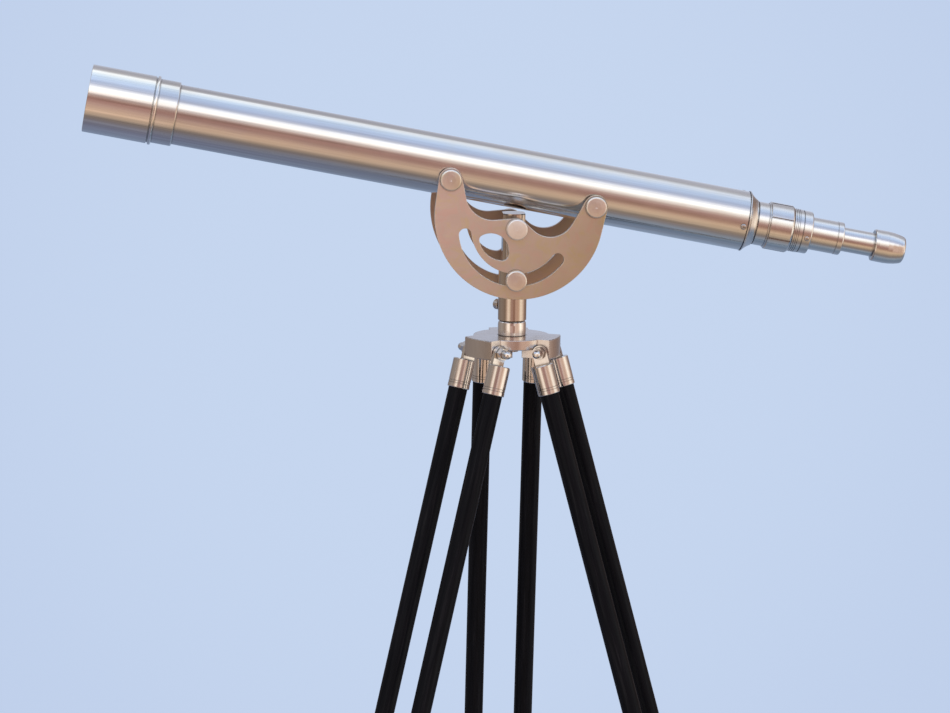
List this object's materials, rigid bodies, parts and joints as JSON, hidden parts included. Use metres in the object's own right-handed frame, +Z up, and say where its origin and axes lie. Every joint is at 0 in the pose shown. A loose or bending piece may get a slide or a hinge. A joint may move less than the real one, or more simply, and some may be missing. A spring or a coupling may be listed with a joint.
{
  "type": "telescope on tripod",
  "caption": "Floor-standing refractor telescope in a twin-plate yoke with arc clamp, on a folding tripod of paired wooden rods with sliding lower legs.",
  "frame": {"origin": "on the floor, under the pan axis", "axes": "+Z up along the pan axis; the telescope lies over the X axis with its eyepiece towards +X and its objective towards -X, tilted up"},
  "size_m": [0.9832, 0.5167, 1.6497],
  "materials": {
    "brushed_nickel": "brushed",
    "satin_plate": "satin",
    "plain_nickel": "satin",
    "cast_head": "satin",
    "ebonised_wood": "satin",
    "lens_glass": "clear"
  },
  "bodies": {
    "head": {"spindle": "brushed_nickel", "tripod_head": "cast_head"},
    "pillar": {"pillar": "brushed_nickel", "pivot_bolt": "plain_nickel", "clamp_bolt": "plain_nickel", "bolt_spacers": "plain_nickel"},
    "telescope": {"objective_cell": "brushed_nickel", "lens_retaining_ring": "plain_nickel", "objective_lens": "lens_glass", "main_tube": "brushed_nickel", "tube_end_ring": "brushed_nickel", "end_ring_screws": "plain_nickel", "focus_barrel": "brushed_nickel", "barrel_collar": "brushed_nickel", "guide_screw": "plain_nickel", "yoke_plate_front": "satin_plate", "yoke_plate_back": "satin_plate", "horn_spacers": "plain_nickel", "horn_screws": "brushed_nickel"},
    "sunshade": {"sunshade": "brushed_nickel"},
    "focus_ring": {"focus_ring": "brushed_nickel"},
    "middle_draw": {"middle_draw_tube": "brushed_nickel"},
    "inner_draw": {"inner_draw_tube": "brushed_nickel", "eyepiece_cup": "brushed_nickel", "eye_lens": "lens_glass"},
    "pivot_knob_front": {"pivot_knob_front": "brushed_nickel"},
    "pivot_knob_back": {"pivot_knob_back": "brushed_nickel"},
    "clamp_knob_front": {"clamp_knob_front": "brushed_nickel"},
    "clamp_knob_back": {"clamp_knob_back": "brushed_nickel"},
    "azimuth_screw": {"azimuth_screw": "brushed_nickel"},
    "leg_a": {"leg_bolt_a": "brushed_nickel", "leg_nut_a": "brushed_nickel", "ferrules_a": "brushed_nickel", "upper_rods_a": "ebonised_wood", "leg_bracket_a": "brushed_nickel"},
    "lower_leg_a": {"slide_bracket_a": "brushed_nickel", "lower_rod_a": "ebonised_wood", "foot_a": "brushed_nickel"},
    "leg_clamp_a": {"leg_clamp_a": "brushed_nickel"},
    "leg_b": {"leg_bolt_b": "brushed_nickel", "leg_nut_b": "brushed_nickel", "ferrules_b": "brushed_nickel", "upper_rods_b": "ebonised_wood", "leg_bracket_b": "brushed_nickel"},
    "lower_leg_b": {"slide_bracket_b": "brushed_nickel", "lower_rod_b": "ebonised_wood", "foot_b": "brushed_nickel"},
    "leg_clamp_b": {"leg_clamp_b": "brushed_nickel"},
    "leg_c": {"leg_bolt_c": "brushed_nickel", "leg_nut_c": "brushed_nickel", "ferrules_c": "brushed_nickel", "upper_rods_c": "ebonised_wood", "leg_bracket_c": "brushed_nickel"},
    "lower_leg_c": {"slide_bracket_c": "brushed_nickel", "lower_rod_c": "ebonised_wood", "foot_c": "brushed_nickel"},
    "leg_clamp_c": {"leg_clamp_c": "brushed_nickel"}
  },
  "joints": [
    {"name": "pan", "type": "hinge", "parent": "head", "child": "pillar", "pos_m": [0, 0, 1.36], "axis": [0, 0, 1], "continuous": true},
    {"name": "tilt", "type": "hinge", "parent": "pillar", "child": "telescope", "pos_m": [0, 0, 1.4635], "axis": [0, 1, 0], "range_deg": [-78, 53.5]},
    {"name": "sunshade_slide", "type": "slide", "parent": "telescope", "child": "sunshade", "axis": [0.9839, 0, -0.1788], "range_m": [0, 0.045]},
    {"name": "focus_turn", "type": "hinge", "parent": "telescope", "child": "focus_ring", "pos_m": [0.31475, 0, 1.46169], "axis": [0.9839, 0, -0.1788], "range_deg": [-540, 180]},
    {"name": "focus_slide", "type": "slide", "parent": "telescope", "child": "middle_draw", "axis": [0.9839, 0, -0.1788], "range_m": [-0.018, 0.006]},
    {"name": "draw_slide", "type": "slide", "parent": "middle_draw", "child": "inner_draw", "axis": [0.9839, 0, -0.1788], "range_m": [-0.034, 0.018]},
    {"name": "pivot_knob_front_turn", "type": "hinge", "parent": "pillar", "child": "pivot_knob_front", "pos_m": [0, -0.05, 1.4635], "axis": [0, -1, 0], "range_deg": [-30, 360]},
    {"name": "pivot_knob_back_turn", "type": "hinge", "parent": "pillar", "child": "pivot_knob_back", "pos_m": [0, 0.05, 1.4635], "axis": [0, 1, 0], "range_deg": [-30, 360]},
    {"name": "clamp_knob_front_turn", "type": "hinge", "parent": "pillar", "child": "clamp_knob_front", "pos_m": [0, -0.05, 1.4025], "axis": [0, -1, 0], "range_deg": [-30, 360]},
    {"name": "clamp_knob_back_turn", "type": "hinge", "parent": "pillar", "child": "clamp_knob_back", "pos_m": [0, 0.05, 1.4025], "axis": [0, 1, 0], "range_deg": [-30, 360]},
    {"name": "azimuth_screw_turn", "type": "hinge", "parent": "pillar", "child": "azimuth_screw", "pos_m": [0, 0, 1.364], "axis": [-0.6428, 0.766, 0], "range_deg": [-30, 360]},
    {"name": "leg_fold_a", "type": "hinge", "parent": "head", "child": "leg_a", "pos_m": [0, 0.0436, 1.3148], "axis": [1, 0, 0], "range_deg": [-8, 15.5]},
    {"name": "leg_slide_a", "type": "slide", "parent": "leg_a", "child": "lower_leg_a", "axis": [0, 0.1478, -0.989], "range_m": [-0.4, 0.13]},
    {"name": "leg_clamp_turn_a", "type": "hinge", "parent": "leg_a", "child": "leg_clamp_a", "pos_m": [0, 0.1481, 0.61557], "axis": [0, 0.989, 0.1478], "range_deg": [-30, 360]},
    {"name": "leg_fold_b", "type": "hinge", "parent": "head", "child": "leg_b", "pos_m": [-0.03445, -0.02672, 1.3148], "axis": [-0.6129, 0.7902, 0], "range_deg": [-15.7, 7.8]},
    {"name": "leg_slide_b", "type": "slide", "parent": "leg_b", "child": "lower_leg_b", "axis": [-0.2204, -0.171, -0.9603], "range_m": [-0.44, 0.09]},
    {"name": "leg_clamp_turn_b", "type": "hinge", "parent": "leg_b", "child": "leg_clamp_b", "pos_m": [-0.19031, -0.14762, 0.63587], "axis": [-0.7588, -0.5886, 0.279], "range_deg": [-30, 360]},
    {"name": "leg_fold_c", "type": "hinge", "parent": "head", "child": "leg_c", "pos_m": [0.04037, -0.01647, 1.3148], "axis": [-0.3778, -0.9259, 0], "range_deg": [-15.7, 7.8]},
    {"name": "leg_slide_c", "type": "slide", "parent": "leg_c", "child": "lower_leg_c", "axis": [0.2583, -0.1054, -0.9603], "range_m": [-0.44, 0.09]},
    {"name": "leg_clamp_turn_c", "type": "hinge", "parent": "leg_c", "child": "leg_clamp_c", "pos_m": [0.22299, -0.091, 0.63587], "axis": [0.8891, -0.3628, 0.279], "range_deg": [-30, 360]}
  ],
  "couplings": [
    {"joint": "focus_slide", "follows": "focus_turn", "m_per_rad": 0.0019099}
  ]
}
